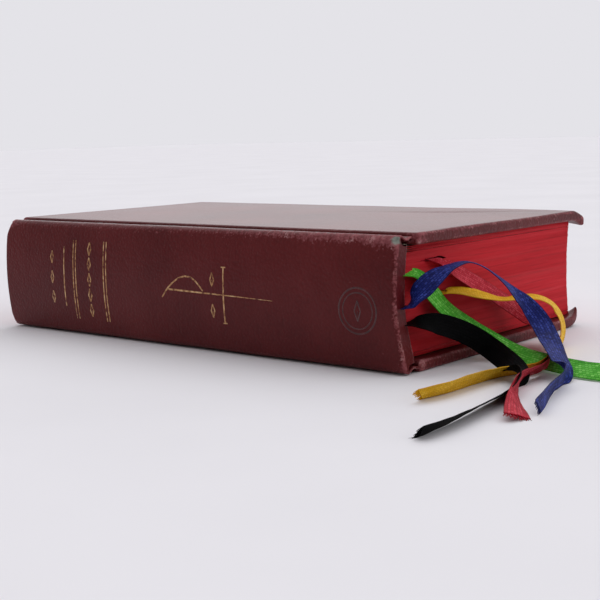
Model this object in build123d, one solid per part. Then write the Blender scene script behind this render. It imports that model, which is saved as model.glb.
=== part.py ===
from build123d import *
from math import pi, radians, sqrt, tan
import os

# A prayer book that lies on its back cover: leather case, sewn leaves with stained edges and
# five ribbon markers. +X runs from the spine to the fore-edge, +Y from the tail to the head
# and +Z up. The origin is under the middle of the covers. Millimetres.

# overall size
cover_height = 165.0
book_width = 102.0
book_thickness = 37.0

# covers
leather = 0.7
board = 1.8
paper_lining = 0.2
cover_corner = 4.0
cover_edge_round = 1.0
turn_in = 14.0
lining_margin = 5.0
square = 3.5

# joints between the spine and the covers
joint_inset = 5.5
joint_width = 3.0
joint_dip = 0.8
joint_gap = 0.25
hinge_rise = 0.25

# spine
spine_round = 1.5
shoulder_drop = 0.35
shoulder_round = 2.4
shoulder_width = 3.2
shoulder_flat = 0.3
spine_card = 1.2
spine_turn_in = 10.0
cloth = 0.6
tape = 0.3
tape_width = 14.0
tape_spacing = 45.0
tape_count = 3
cloth_margin = 12.0

# leaves
hollow_fore_edge = 1.2
leaf = 0.3
leaf_gap = 0.2
cover_gap = 0.3
gutter_inset = 0.9
front_leaf_count = 3
back_leaf_count = 2
bind_edge = 0.2

# ribbon markers
ribbon_width = 6.0
ribbon_thickness = 0.3
cord_diameter = 1.3
arc_share = 0.45
strip_start = 6.0

# worked out from the sizes above
cover = board + 2 * leather
half_height = cover_height / 2
half_width = book_width / 2
middle = book_thickness / 2
inner_face = cover + paper_lining
leaf_half = half_height - square
fore_edge = half_width - square
hinge_x = joint_inset - half_width
board_x = hinge_x + joint_width
leaf_step = leaf + leaf_gap
block_bottom = inner_face + cover_gap + back_leaf_count * leaf_step
block_top = book_thickness - inner_face - cover_gap - front_leaf_count * leaf_step
block_height = block_top - block_bottom
turn_layer = leather
spine_stack = leather + spine_card + turn_layer + cloth
back_x = spine_stack - half_width
gutter_x = hinge_x + gutter_inset
middle_of_leaves = (block_bottom + block_top) / 2
slope_x = hinge_x - shoulder_width / 3
# a round can be no larger than the room between the side of the spine and the joint's slope
shoulder_room = slope_x - shoulder_flat - (spine_round - half_width)
shoulder_turn = min(shoulder_round, shoulder_room)
shoulder_z = shoulder_drop + shoulder_turn

# name, place in the leaves as a share of them from the back, exit measured from the spine face,
# straight run out of the exit, and the free route after it as points (from the spine face, out
# from the leaf ends, above the table)
ribbons = [
    ("black", 0.31, 5.0, 2.6, [
        (7.0, 4.0, 13.8), (11.4, 5.4, 14.4), (16.5, 7.1, 13.2), (22.2, 9.8, 9.4), (26.2, 13.4, 5.0),
        (24.5, 18.8, 3.6), (16.5, 24.6, 3.4), (4.0, 29.6, 1.8), (-10.0, 32.6, 0.7), (-24.0, 32.9, 0.7),
        (-37.0, 33.4, 0.7), (-49.0, 35.4, 0.7)]),
    ("blue", 0.475, 4.5, 2.2, [
        (4.6, 3.8, 19.8), (7.2, 5.8, 24.0), (11.0, 6.8, 27.6), (15.8, 8.4, 29.4), (20.6, 11.4, 27.6),
        (24.6, 15.2, 23.0), (28.4, 18.6, 16.4), (32.8, 21.8, 8.8), (34.2, 26.0, 3.9), (29.4, 31.6, 1.6),
        (19.5, 35.8, 0.7), (7.5, 38.6, 0.7), (-5.5, 43.1, 0.7), (-17.0, 47.8, 0.7)]),
    ("yellow", 0.545, 23.3, 3.0, [
        (25.8, 4.2, 19.6), (30.5, 5.9, 18.7), (39.0, 7.6, 16.6), (46.5, 9.0, 16.2), (53.8, 11.3, 15.4),
        (59.2, 13.8, 11.8), (59.6, 16.8, 6.8), (54.0, 20.0, 2.6), (43.5, 23.0, 0.7), (30.0, 23.6, 0.7),
        (14.0, 20.2, 0.7), (-1.5, 18.0, 0.7), (-18.0, 18.3, 0.7)]),
    ("green", 0.785, 4.5, 2.0, [
        (5.2, 2.9, 23.8), (8.2, 3.6, 20.2), (12.6, 4.6, 16.6), (18.6, 5.8, 13.2), (27.0, 7.4, 9.0),
        (35.5, 9.0, 4.8), (40.0, 13.2, 2.8), (39.0, 19.8, 2.6), (34.4, 27.8, 2.2), (31.4, 37.5, 0.7),
        (32.4, 48.0, 0.7)]),
    ("red", 0.895, 18.0, 2.4, [
        (21.0, 3.0, 27.4), (26.5, 3.3, 24.2), (37.5, 3.7, 19.4), (49.0, 4.2, 14.2), (57.5, 5.6, 9.2),
        (62.0, 7.8, 5.0), (61.2, 12.0, 2.4), (53.6, 16.4, 2.6), (42.5, 20.6, 4.2), (31.0, 25.0, 4.2),
        (19.0, 27.0, 1.4), (6.0, 30.0, 0.7), (-8.0, 36.6, 0.7), (-21.5, 43.8, 0.7)]),
]


def block(x0, x1, y0, y1, z0, z1):
    """A box between two corners."""
    return Pos((x0 + x1) / 2, (y0 + y1) / 2, (z0 + z1) / 2) * Box(x1 - x0, y1 - y0, z1 - z0)


def profile(face, half_length):
    """An X-Z section made solid along Y, as far to each side of the middle."""
    return extrude(Plane.XZ * face, half_length, both=True)


def bow_radius(chord, bow):
    """The radius of an arc that stands out by bow over a chord."""
    return (chord * chord / 4 + bow * bow) / (2 * bow)


def write(node, shape):
    """Write one sub-part to its own file."""
    export_step(shape, "parts/" + node + ".step")


# the rounded back of the leaves: one centre for every layer that follows it
arc_chord = book_thickness - 2 * shoulder_z
spine_radius = bow_radius(arc_chord, spine_round)
spine_centre = spine_radius - half_width


def back_disc(depth):
    """The round that lies depth inside the outer face of the spine."""
    return Pos(spine_centre, middle) * Circle(spine_radius - depth)


def back_layer(outer, inner, z0, z1):
    """A curved layer of the spine between two depths, as an X-Z section."""
    window = Pos(hinge_x, middle) * Rectangle(book_width, z1 - z0)
    ring = back_disc(outer) - back_disc(inner)
    return ring & (Pos(-book_width / 2, (z0 + z1) / 2 - middle) * window)


def leaf_section(z0, z1):
    """The X-Z section of a pile of leaves: rounded back, hollow fore-edge."""
    radius = bow_radius(block_height, hollow_fore_edge)
    hollow = Pos(fore_edge - hollow_fore_edge + radius, middle_of_leaves) * Circle(radius)
    strip = Pos(spine_centre - spine_radius + book_width, (z0 + z1) / 2)
    return (strip * Rectangle(2 * book_width, z1 - z0) & back_window(z0, z1)) - hollow


def back_window(z0, z1):
    """Everything right of the rounded back, as far as the fore-edge."""
    span = Pos((spine_centre + fore_edge) / 2, (z0 + z1) / 2)
    straight = span * Rectangle(fore_edge - spine_centre, z1 - z0)
    strip = Pos(0, (z0 + z1) / 2) * Rectangle(2 * book_width, z1 - z0)
    return straight + (back_disc(spine_stack) & strip)


def mark_height(share):
    """The height of a ribbon's strip among the leaves."""
    return block_bottom + share * block_height


def leaf_groups():
    """Piles of sewn leaves, parted where a ribbon lies between them."""
    levels = [block_bottom]
    for share in (ribbon[1] for ribbon in ribbons):
        height = mark_height(share)
        levels += [height - ribbon_thickness / 2, height + ribbon_thickness / 2]
    levels.append(block_top)
    for i in range(len(ribbons) + 1):
        section = leaf_section(levels[2 * i], levels[2 * i + 1])
        write("leaf_group_" + str(i + 1), profile(section, leaf_half))


def loose_leaf(node, z0):
    """A first or last leaf that turns with its cover."""
    solid = block(gutter_x + bind_edge, fore_edge, -leaf_half, leaf_half, z0, z0 + leaf)
    write(node, solid)


def loose_leaves():
    for i in range(front_leaf_count):
        loose_leaf("front_leaf_" + str(i + 1), block_top + leaf_gap + i * leaf_step)
    for i in range(back_leaf_count):
        loose_leaf("back_leaf_" + str(i + 1), block_bottom - leaf_gap - leaf - i * leaf_step)


def tape_places():
    """The middles of the sewing tapes along the spine."""
    first = -tape_spacing * (tape_count - 1) / 2
    return [first + i * tape_spacing for i in range(tape_count)]


def spine_backing():
    """Sewing tapes, cloth, paper lining and card, from the leaves outwards."""
    tape_section = back_layer(spine_stack - tape, spine_stack, block_bottom, block_top)
    cloth_solid = profile(back_layer(spine_stack - cloth, spine_stack, block_bottom, block_top),
                          leaf_half - cloth_margin)
    for i, y in enumerate(tape_places()):
        tape_solid = Pos(0, y, 0) * profile(tape_section, tape_width / 2)
        cloth_solid = cloth_solid - tape_solid
        write("sewing_tape_" + str(i + 1), tape_solid)
    write("spine_cloth", cloth_solid)
    depth = leather + spine_card
    lining = back_layer(depth, depth + turn_layer, block_bottom, block_top)
    write("spine_lining", profile(lining, half_height - leather - spine_turn_in))
    card = back_layer(leather, depth, shoulder_z, book_thickness - shoulder_z)
    write("spine_card", profile(card, half_height - leather))


def spine_outline():
    """The outside of the spine leather from joint to joint, closed on the inside."""
    low = shoulder_drop
    high = book_thickness - shoulder_drop
    side_x = spine_centre - sqrt(spine_radius ** 2 - (arc_chord / 2) ** 2)
    end_x = hinge_x + joint_width
    with BuildLine() as edge:
        Line((end_x, joint_dip), (hinge_x, joint_dip))
        Line((hinge_x, joint_dip), (slope_x, low))
        Line((slope_x, low), (side_x + shoulder_turn, low))
        RadiusArc((side_x + shoulder_turn, low), (side_x, shoulder_z), shoulder_turn)
        ThreePointArc((side_x, shoulder_z), (-half_width, middle),
                      (side_x, book_thickness - shoulder_z))
        RadiusArc((side_x, book_thickness - shoulder_z), (side_x + shoulder_turn, high),
                  shoulder_turn)
        Line((side_x + shoulder_turn, high), (slope_x, high))
        Line((slope_x, high), (hinge_x, book_thickness - joint_dip))
        Line((hinge_x, book_thickness - joint_dip), (end_x, book_thickness - joint_dip))
        Line((end_x, book_thickness - joint_dip), (end_x, joint_dip))
    return make_face(edge.line)


def spine_leather():
    """The leather of the spine: its skin, and its ends turned in over the card."""
    outline = spine_outline()
    keep = Pos(hinge_x - joint_gap - half_width, middle) * Rectangle(book_width, book_thickness)
    skin = (outline - offset(outline, -leather)) & keep
    shell = profile(skin, half_height)
    depth = leather + spine_card
    ends = back_layer(leather, depth + turn_layer, shoulder_z, book_thickness - shoulder_z)
    turned = back_layer(depth, depth + turn_layer, shoulder_z, book_thickness - shoulder_z)
    cap = half_height - leather
    turn_end = half_height - leather - spine_turn_in
    for side in (-1, 1):
        shell += Pos(0, side * (cap + leather / 2), 0) * profile(ends, leather / 2)
        shell += Pos(0, side * (cap + turn_end) / 2, 0) * profile(turned, (cap - turn_end) / 2)
    write("spine_leather", shell)


def cover_plan(inset):
    """The plan of a cover from its joint to its rounded fore-edge corners."""
    width = half_width - board_x - 2 * inset
    plan = RectangleRounded(width, cover_height - 2 * inset, max(cover_corner - inset, leather))
    square_end = Pos(-width / 4, 0) * Rectangle(width / 2, cover_height - 2 * inset)
    return Pos((board_x + half_width) / 2, 0) * (plan + square_end)


def cover_pieces(name):
    """Leather, board and paper lining of the back cover, flipped over for the front one."""
    body = extrude(cover_plan(0), cover)
    body = fillet(body.edges().filter_by(Plane.XY), cover_edge_round)
    flap = block(hinge_x + joint_gap, board_x + leather, -half_height, half_height,
                 joint_dip, joint_dip + leather)
    board_solid = Pos(0, 0, leather) * extrude(cover_plan(leather), board)
    recess_end = half_height - turn_in
    recess = block(board_x + leather, half_width - turn_in, -recess_end, recess_end,
                   leather + board, cover)
    lining_end = half_height - lining_margin
    sheet = block(board_x + leather, half_width - lining_margin, -lining_end, lining_end,
                  cover, inner_face)
    pieces = {
        "_leather": body + flap - board_solid - recess,
        "_board": board_solid,
        "_lining": recess + sheet,
    }
    for ending, solid in pieces.items():
        if name == "front_cover":
            solid = Pos(0, 0, book_thickness) * Rot(180, 0, 0) * solid
        write(name + ending, solid)


def strip(share, exit_x):
    """The hidden stretch of a ribbon: from the back of the leaves at the head to its exit."""
    start_x = back_x + spine_round + ribbon_width / 2
    end_x = exit_x + ribbon_width / 2
    top = leaf_half - strip_start
    with BuildSketch() as sketch:
        with BuildLine():
            Polyline((start_x - ribbon_width / 2, top), (start_x + ribbon_width / 2, top),
                     (end_x, -leaf_half), (end_x - ribbon_width, -leaf_half), close=True)
        make_face()
    return Pos(0, 0, mark_height(share) - ribbon_thickness / 2) * extrude(sketch.sketch,
                                                                          ribbon_thickness)


def route_radii(points):
    """The largest arc that the two runs beside each corner leave room for."""
    radii = []
    for before, corner, after in zip(points, points[1:], points[2:]):
        run_in = Vector(*corner) - Vector(*before)
        run_out = Vector(*after) - Vector(*corner)
        half_turn = radians(run_in.get_angle(run_out)) / 2
        radii.append(arc_share * min(run_in.length, run_out.length) / tan(half_turn))
    return radii


def free_ribbon(name, exit_point, exit_run, route):
    """The stretch of a ribbon outside the leaves, as a cord of the ribbon's own section."""
    points = [exit_point, Vector(*exit_point) - Vector(0, exit_run, 0)]
    for from_spine, out, up in route:
        points.append((from_spine - half_width, -leaf_half - out, up))
    radii = route_radii(points)
    path = FilletPolyline(*points, radius=radii)
    start = Plane(origin=path @ 0, z_dir=path % 0)
    tube = sweep(start * Circle(cord_diameter / 2), path=path)
    expected = pi * cord_diameter ** 2 / 4 * path.length
    print(name, "length", round(path.length, 1), "volume", round(tube.volume / expected, 4),
          "radii", [round(r, 1) for r in radii])
    write("ribbon_" + name, tube)


def ribbon_markers():
    for name, share, exit_from_spine, exit_run, route in ribbons:
        exit_x = exit_from_spine - half_width
        centre_x = max(exit_x, back_x + spine_round + ribbon_width / 2)
        write("ribbon_strip_" + name, strip(share, centre_x))
        free_ribbon(name, (exit_x, -leaf_half, mark_height(share)), exit_run, route)


os.makedirs("parts", exist_ok=True)
leaf_groups()
loose_leaves()
spine_backing()
spine_leather()
cover_pieces("back_cover")
cover_pieces("front_cover")
ribbon_markers()
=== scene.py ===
import math
import random
from functools import partial

import bpy
import numpy as np
from mathutils import Matrix, Vector, noise


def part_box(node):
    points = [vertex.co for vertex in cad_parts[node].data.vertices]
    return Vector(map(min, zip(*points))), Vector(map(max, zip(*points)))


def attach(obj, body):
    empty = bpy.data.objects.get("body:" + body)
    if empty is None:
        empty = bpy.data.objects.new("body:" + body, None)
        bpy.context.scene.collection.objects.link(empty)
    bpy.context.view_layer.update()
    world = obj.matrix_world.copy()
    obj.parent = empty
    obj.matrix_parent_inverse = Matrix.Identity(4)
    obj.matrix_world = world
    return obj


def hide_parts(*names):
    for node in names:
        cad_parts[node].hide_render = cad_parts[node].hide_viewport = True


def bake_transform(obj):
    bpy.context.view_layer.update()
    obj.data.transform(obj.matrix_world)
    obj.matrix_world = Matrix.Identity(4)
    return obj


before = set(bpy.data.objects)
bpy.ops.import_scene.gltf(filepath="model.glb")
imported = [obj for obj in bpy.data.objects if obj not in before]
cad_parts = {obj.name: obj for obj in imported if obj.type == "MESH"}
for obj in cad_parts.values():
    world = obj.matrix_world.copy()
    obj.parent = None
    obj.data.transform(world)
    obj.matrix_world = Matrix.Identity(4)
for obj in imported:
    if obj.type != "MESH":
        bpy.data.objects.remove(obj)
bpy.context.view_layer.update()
random.seed(5)

MM = 0.001

# ---------------- sizes, in millimetres


def node_box(node):
    """A CAD node's low and high corners in millimetres."""
    low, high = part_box(node)
    return np.array(low) / MM, np.array(high) / MM


COVER_LOW, COVER_HIGH = node_box("front_cover_leather")
BOARD_LOW, BOARD_HIGH = node_box("front_cover_board")
SPINE_LOW, SPINE_HIGH = node_box("spine_leather")
PILES = [node_box("leaf_group_" + str(k)) for k in range(1, 7)]

THICKNESS = COVER_HIGH[2]
MIDDLE = THICKNESS / 2
HALF_HEIGHT = COVER_HIGH[1]
SPINE_FACE = SPINE_LOW[0]
FORE_EDGE = COVER_HIGH[0]
LEATHER = COVER_HIGH[0] - BOARD_HIGH[0]
BOARD_EDGE = BOARD_LOW[0] - LEATHER
SHOULDER = node_box("spine_card")[0][2]
SHOULDER_DROP = SPINE_LOW[2]
LEAF_HALF = PILES[0][1][1]
LEAF_FORE_EDGE = PILES[-1][1][0]
LEAF_BACK = min(low[0] for low, high in PILES)
BLOCK_LOW = PILES[0][0][2]
BLOCK_HIGH = PILES[-1][1][2]
BLOCK_MIDDLE = (BLOCK_LOW + BLOCK_HIGH) / 2

# forms that the nodes' boxes don't give
GROOVE = SPINE_HIGH[0] + 0.25   # the line that a cover turns about, just past the spine's leather
SHOULDER_ROUND = 2.4
SPINE_BOW = 1.5
SPINE_THICK = 2.6               # leather, card and turn-in together
SPINE_ARRIS = 0.9
JOINT_ARRIS = 0.34
HEADCAP_LIP = 2.5
FORE_EDGE_HOLLOW = 1.2
BACK_BOW = 1.1
COVER_CORNER = 1.8
JOINT_CORNER = 0.8
COVER_ROUND = 0.95
RIBBON_WIDTH = 6.0
RIBBON_THICK = 0.2
RIBBON_REST = 0.02              # how far above the table a ribbon's underside lies at least
THREAD_RADIUS = 0.13
SHARP_EDGE = 50                 # degrees from which the edge between two faces shows as sharp

# ---------------- small helpers


def linear(hex_colour):
    """An sRGB hex colour as linear RGBA."""
    values = [int(hex_colour[i:i + 2], 16) / 255 for i in (1, 3, 5)]
    return [v / 12.92 if v <= 0.04045 else ((v + 0.055) / 1.055) ** 2.4 for v in values] + [1.0]


def add_node(tree, kind, inputs=None, out=0, stops=(), **settings):
    """Add a node: its settings, its inputs, and a ramp's stops. Gives the output asked for.

    An input is a number, a hex colour or another node's output."""
    node = tree.nodes.new("ShaderNode" + kind)
    for name, value in settings.items():
        setattr(node, name, value)
    for key, value in (inputs or {}).items():
        if isinstance(value, bpy.types.NodeSocket):
            tree.links.new(value, node.inputs[key])
        else:
            node.inputs[key].default_value = linear(value) if isinstance(value, str) else value
    for k, (place, colour) in enumerate(stops):
        if k > 1:
            node.color_ramp.elements.new(place)
        node.color_ramp.elements[k].position = place
        node.color_ramp.elements[k].color = linear(colour)
    return node.outputs[out]


def new_material(name, roughness, **sockets):
    """A material whose Principled shader has these values, and add_node for its tree."""
    material = bpy.data.materials.new(name)
    material.use_nodes = True
    shader = material.node_tree.nodes["Principled BSDF"]
    shader.inputs["Roughness"].default_value = roughness
    for key, value in sockets.items():
        shader.inputs[key.replace("_", " ")].default_value = value
    return material, partial(add_node, material.node_tree)


def driven(material, **sources):
    """The same material, its shader's sockets now fed by these outputs."""
    tree = material.node_tree
    for key, source in sources.items():
        tree.links.new(source, tree.nodes["Principled BSDF"].inputs[key.replace("_", " ")])
    return material


def per(size):
    """The texture scale whose features are this many millimetres across."""
    return 1.0 / (size * MM)


def waves(size):
    """The wave texture scale whose waves are this many millimetres apart."""
    return 2 * math.pi / 20 / (size * MM)


def mesh_piece(name, verts, faces, material, body):
    """A smooth mesh from points in millimetres, riding on a body."""
    mesh = bpy.data.meshes.new(name)
    mesh.from_pydata([tuple(c * MM for c in v) for v in verts], [], faces)
    mesh.validate()
    mesh.polygons.foreach_set("use_smooth", [True] * len(mesh.polygons))
    mesh.set_sharp_from_angle(angle=math.radians(SHARP_EDGE))
    mesh.update()
    mesh.materials.append(material)
    piece = bpy.data.objects.new(name, mesh)
    bpy.context.scene.collection.objects.link(piece)
    if body:
        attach(piece, body)
    return piece


def paint(piece, attribute, values):
    """A number at each point of a piece, for its material to read."""
    layer = piece.data.attributes.new(attribute, "FLOAT", "POINT")
    layer.data.foreach_set("value", np.array(values, np.float32))


def grid_faces(rows, columns, first=0, closed=False, flip=False):
    """Quads over a grid of points stored row by row."""
    faces = []
    for i in range(rows - 1):
        for j in range(columns if closed else columns - 1):
            k = (j + 1) % columns
            a, b = first + i * columns + j, first + i * columns + k
            c, d = first + (i + 1) * columns + k, first + (i + 1) * columns + j
            faces.append((a, d, c, b) if flip else (a, b, c, d))
    return faces


def rim_faces(rows, columns, under):
    """Quads that join the rims of two grids, the second one starting at under."""
    faces = []
    for i in range(rows - 1):
        for j in (0, columns - 1):
            a, b = i * columns + j, (i + 1) * columns + j
            quad = (a, b, b + under, a + under)
            faces.append(quad if j == 0 else quad[::-1])
    for i in (0, rows - 1):
        for j in range(columns - 1):
            a, b = i * columns + j, i * columns + j + 1
            quad = (a, a + under, b + under, b)
            faces.append(quad if i == 0 else quad[::-1])
    return faces


def ease(low, high, value):
    """A smooth step from 0 at low to 1 at high."""
    t = min(1.0, max(0.0, (value - low) / (high - low)))
    return t * t * (3 - 2 * t)


def wander(x, y, z, size):
    """Smooth noise from -1 to 1 with features of about this size."""
    return noise.noise(Vector((x, y, z)) / size)


def between(a, b, share):
    """The point this share of the way from a to b, seen from above."""
    return a[0] + (b[0] - a[0]) * share, a[1] + (b[1] - a[1]) * share


def on_circle(centre, radius, turn):
    """The point of a circle at this angle in radians."""
    return centre[0] + radius * math.cos(turn), centre[1] + radius * math.sin(turn)


def heading(points, i):
    """The way that a line of points runs at one of them."""
    return (points[min(i + 1, len(points) - 1)] - points[max(i - 1, 0)]).normalized()


# ---------------- materials


def maroon_goatskin():
    """Goatskin, vegetable tanned, dyed maroon and glazed: a fine pebble grain with a low gloss,
    and pinkish scuffs on the tops of the pebbles wherever hands have rubbed the dye away."""
    material, add = new_material("glazed_maroon_goatskin", 0.45, IOR=1.5, Specular_IOR_Level=0.16)
    place = add("TexCoord", out="Object")
    # the wear is rubbed dye, and along the spine's upper shoulder it also carries a painted
    # highlight
    wear = add("Attribute", out="Fac", attribute_name="wear")
    torn = add("Attribute", out="Fac", attribute_name="torn")
    # real pebbles are 0.4 mm across, too fine to show: they are drawn 0.8 mm across
    pebble = add("TexVoronoi", {"Vector": place, "Scale": per(0.8)}, "Distance",
                 feature="SMOOTH_F1")
    wrinkle = add("TexNoise", {"Vector": place, "Scale": per(2.6), "Detail": 5.0,
                               "Roughness": 0.6})
    patch = add("TexNoise", {"Vector": place, "Scale": per(30.0), "Detail": 4.0})
    speck = add("TexNoise", {"Vector": place, "Scale": per(0.6), "Detail": 3.0})
    dyed = add("ValToRGB", {"Fac": patch},
               stops=[(0.28, "#521418"), (0.5, "#601A1C"), (0.75, "#6C2325")])
    grain = add("Math", {0: pebble, 1: 0.30}, operation="MULTIPLY")
    dyed = add("Mix", {0: grain, 6: dyed, 7: "#2A0809"}, 2, data_type="RGBA")
    rubbed = add("Math", {0: speck, 1: 1.1, 2: wear}, operation="MULTIPLY_ADD")
    rubbed = add("Math", {0: pebble, 1: -0.5, 2: rubbed}, operation="MULTIPLY_ADD")
    rubbed = add("MapRange", {"Value": rubbed, "From Min": 0.66, "From Max": 1.02})
    worn = add("ValToRGB", {"Fac": wrinkle},
               stops=[(0.3, "#6E3035"), (0.55, "#925256"), (0.75, "#C49A99")])
    colour = add("Mix", {0: rubbed, 6: dyed, 7: worn}, 2, data_type="RGBA")
    bare = add("ValToRGB", {"Fac": wrinkle}, stops=[(0.3, "#5C635C"), (0.7, "#9DA197")])
    colour = add("Mix", {0: torn, 6: colour, 7: bare}, 2, data_type="RGBA")
    rough = add("MapRange", {"Value": rubbed, "To Min": 0.36, "To Max": 0.7})
    hollow = add("Math", {0: pebble, 1: -0.7}, operation="MULTIPLY")
    height = add("Math", {0: wrinkle, 1: 0.8, 2: hollow}, operation="MULTIPLY_ADD")
    bump = add("Bump", {"Strength": 0.6, "Distance": 0.25 * MM, "Height": height})
    return driven(material, Base_Color=colour, Roughness=rough, Normal=bump)


def red_edged_paper():
    """Thin printing paper, its edges trimmed and sponged with red stain: level streaks where
    each leaf catches the light, a paler bloom, and cream faces with the stain run in a little."""
    material, add = new_material("red_edged_paper", 0.65, Specular_IOR_Level=0.12)
    place = add("TexCoord", out="Object")
    facing = add("SeparateXYZ", {0: place.node.outputs["Normal"]}, "Z")
    spot = add("SeparateXYZ", {0: place}, "X")
    # a leaf is 0.06 mm thick, too fine to show: a streak stands for 0.5 mm of leaves
    stretch = add("Mapping", {"Vector": place, "Scale": (0.022, 0.022, 1.0)})
    streak = add("TexNoise", {"Vector": stretch, "Scale": per(0.5), "Detail": 4.0,
                              "Roughness": 0.65})
    band = add("TexNoise", {"Vector": stretch, "Scale": per(2.6), "Detail": 3.0})
    bloom = add("TexNoise", {"Vector": stretch, "Scale": per(5.5), "Detail": 2.0})
    cloud = add("TexNoise", {"Vector": place, "Scale": per(16.0), "Detail": 3.0})
    red = add("ValToRGB", {"Fac": band},
              stops=[(0.3, "#B4141F"), (0.55, "#C8232E"), (0.8, "#D63640")])
    dark = add("MapRange", {"Value": streak, "From Min": 0.5, "From Max": 0.72, "To Max": 0.55})
    red = add("Mix", {0: dark, 6: red, 7: "#860D15"}, 2, data_type="RGBA")
    pale = add("MapRange", {"Value": bloom, "From Min": 0.58, "From Max": 0.8, "To Max": 0.45})
    red = add("Mix", {0: pale, 6: red, 7: "#D05A5E"}, 2, data_type="RGBA")
    # painted shade: the red edges darken towards the spine
    shade_near_spine = add("MapRange", {"Value": spot, "From Min": SPINE_FACE * MM,
                                  "From Max": (SPINE_FACE + 48.0) * MM, "To Min": 0.45,
                                  "To Max": 0.0})
    red = add("Mix", {0: shade_near_spine, 6: red, 7: "#8E0D17"}, 2, data_type="RGBA")
    size = add("VectorMath", {0: place}, operation="ABSOLUTE")
    reach_y = add("SeparateXYZ", {0: size}, "Y")
    run_in = add("Math", {0: cloud, 1: 1.6 * MM, 2: reach_y}, operation="MULTIPLY_ADD")
    run_x = add("Math", {0: cloud, 1: 1.6 * MM, 2: spot}, operation="MULTIPLY_ADD")
    run_in = add("MapRange", {"Value": run_in, "From Min": (LEAF_HALF - 0.7) * MM,
                              "From Max": (LEAF_HALF + 0.6) * MM})
    run_x = add("MapRange", {"Value": run_x, "From Min": (LEAF_FORE_EDGE - 0.7) * MM,
                             "From Max": (LEAF_FORE_EDGE + 0.6) * MM})
    run_in = add("Math", {0: run_in, 1: run_x}, operation="MAXIMUM")
    cream = add("ValToRGB", {"Fac": cloud}, stops=[(0.3, "#E4DAC2"), (0.7, "#EFE7D3")])
    cream = add("Mix", {0: run_in, 6: cream, 7: "#B9454C"}, 2, data_type="RGBA")
    flat = add("Math", {0: facing}, operation="ABSOLUTE")
    flat = add("Math", {0: flat, 1: 0.7}, operation="GREATER_THAN")
    colour = add("Mix", {0: flat, 6: red, 7: cream}, 2, data_type="RGBA")
    height = add("Math", {0: band, 1: 1.6, 2: streak}, operation="MULTIPLY_ADD")
    bump = add("Bump", {"Strength": 0.4, "Distance": 0.16 * MM, "Height": height})
    return driven(material, Base_Color=colour, Normal=bump)


def cream_endpaper():
    """Laid endpaper, uncoated: warm cream with soft clouding and close laid lines."""
    material, add = new_material("laid_cream_endpaper", 0.8, IOR=1.45)
    place = add("TexCoord", out="Object")
    cloud = add("TexNoise", {"Vector": place, "Scale": per(7.0), "Detail": 8.0})
    laid = add("TexWave", {"Vector": place, "Scale": waves(1.2), "Distortion": 0.6}, "Fac",
               bands_direction="Y")
    age = add("TexNoise", {"Vector": place, "Scale": per(42.0), "Detail": 3.0})
    colour = add("ValToRGB", {"Fac": cloud}, stops=[(0.3, "#DED2B8"), (0.7, "#EDE4D0")])
    tan = add("Math", {0: age, 1: 0.45}, operation="MULTIPLY")
    colour = add("Mix", {0: tan, 6: colour, 7: "#C6AF86"}, 2, data_type="RGBA")
    height = add("Math", {0: laid, 1: 0.4, 2: cloud}, operation="MULTIPLY_ADD")
    bump = add("Bump", {"Strength": 0.2, "Distance": 0.06 * MM, "Height": height})
    return driven(material, Base_Color=colour, Normal=bump)


def grey_millboard():
    """Millboard, rolled from waste pulp: matt grey with darker and paler fibres."""
    material, add = new_material("rolled_grey_millboard", 0.9, IOR=1.45)
    place = add("TexCoord", out="Object")
    fibre = add("TexNoise", {"Vector": place, "Scale": per(1.5), "Detail": 8.0})
    colour = add("ValToRGB", {"Fac": fibre}, stops=[(0.35, "#5E605A"), (0.65, "#9A9A90")])
    bump = add("Bump", {"Strength": 0.4, "Distance": 0.1 * MM, "Height": fibre})
    return driven(material, Base_Color=colour, Normal=bump)


def woven_cotton(name, thread, pale, dark):
    """Plain woven cotton, sized with glue: crossed threads with shadow between them."""
    material, add = new_material(name, 0.9, IOR=1.45)
    place = add("TexCoord", out="Object")
    along = add("TexWave", {"Vector": place, "Scale": waves(thread)}, "Fac", bands_direction="Y")
    across = add("TexWave", {"Vector": place, "Scale": waves(thread)}, "Fac", bands_direction="Z")
    weave = add("Math", {0: along, 1: across}, operation="MULTIPLY")
    colour = add("ValToRGB", {"Fac": weave}, stops=[(0.1, dark), (0.7, pale)])
    bump = add("Bump", {"Strength": 0.5, "Distance": 0.1 * MM, "Height": weave})
    return driven(material, Base_Color=colour, Normal=bump)


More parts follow.
